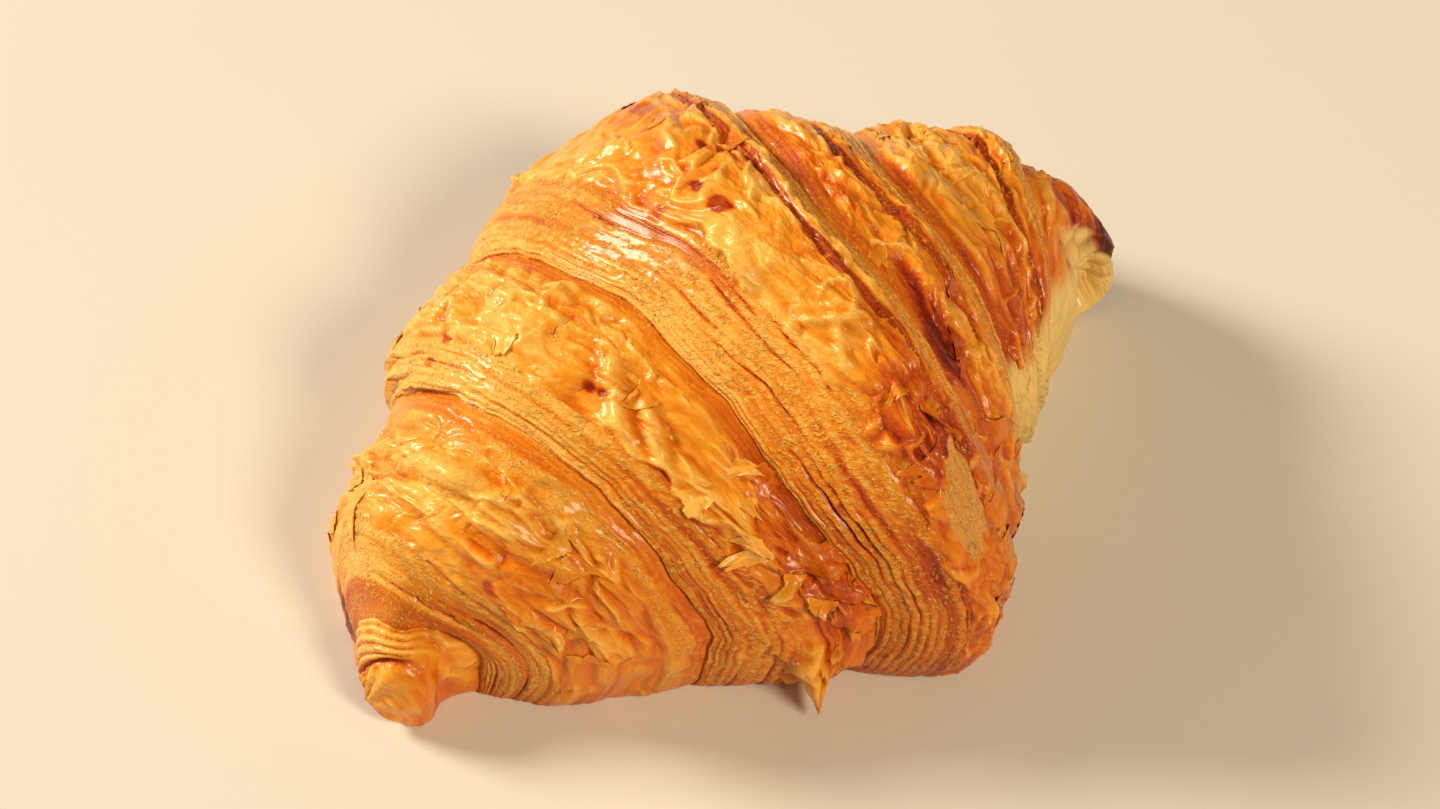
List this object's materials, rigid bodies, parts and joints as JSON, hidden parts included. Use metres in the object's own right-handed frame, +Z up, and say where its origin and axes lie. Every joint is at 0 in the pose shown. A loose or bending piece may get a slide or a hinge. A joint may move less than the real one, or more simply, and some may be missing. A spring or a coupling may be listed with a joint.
{
  "type": "croissant",
  "caption": "Crescent croissant of rolled laminated dough with overlapping wraps, layered lips, blistered skin and blunt tips bent forward, on a flat underside.",
  "frame": {"origin": "centre of the bounding box in plan, on the surface that the croissant rests on", "axes": "+X along the length towards the blunt tip with the pale dough, +Y towards the back, so the tips bend towards -Y, +Z up"},
  "size_m": [0.139, 0.106, 0.0576],
  "materials": {
    "crust": "golden-brown baked crust, glossy on the puffed skin and drier on the layered lips"
  },
  "bodies": {
    "root": {"croissant": "crust"}
  },
  "joints": []
}
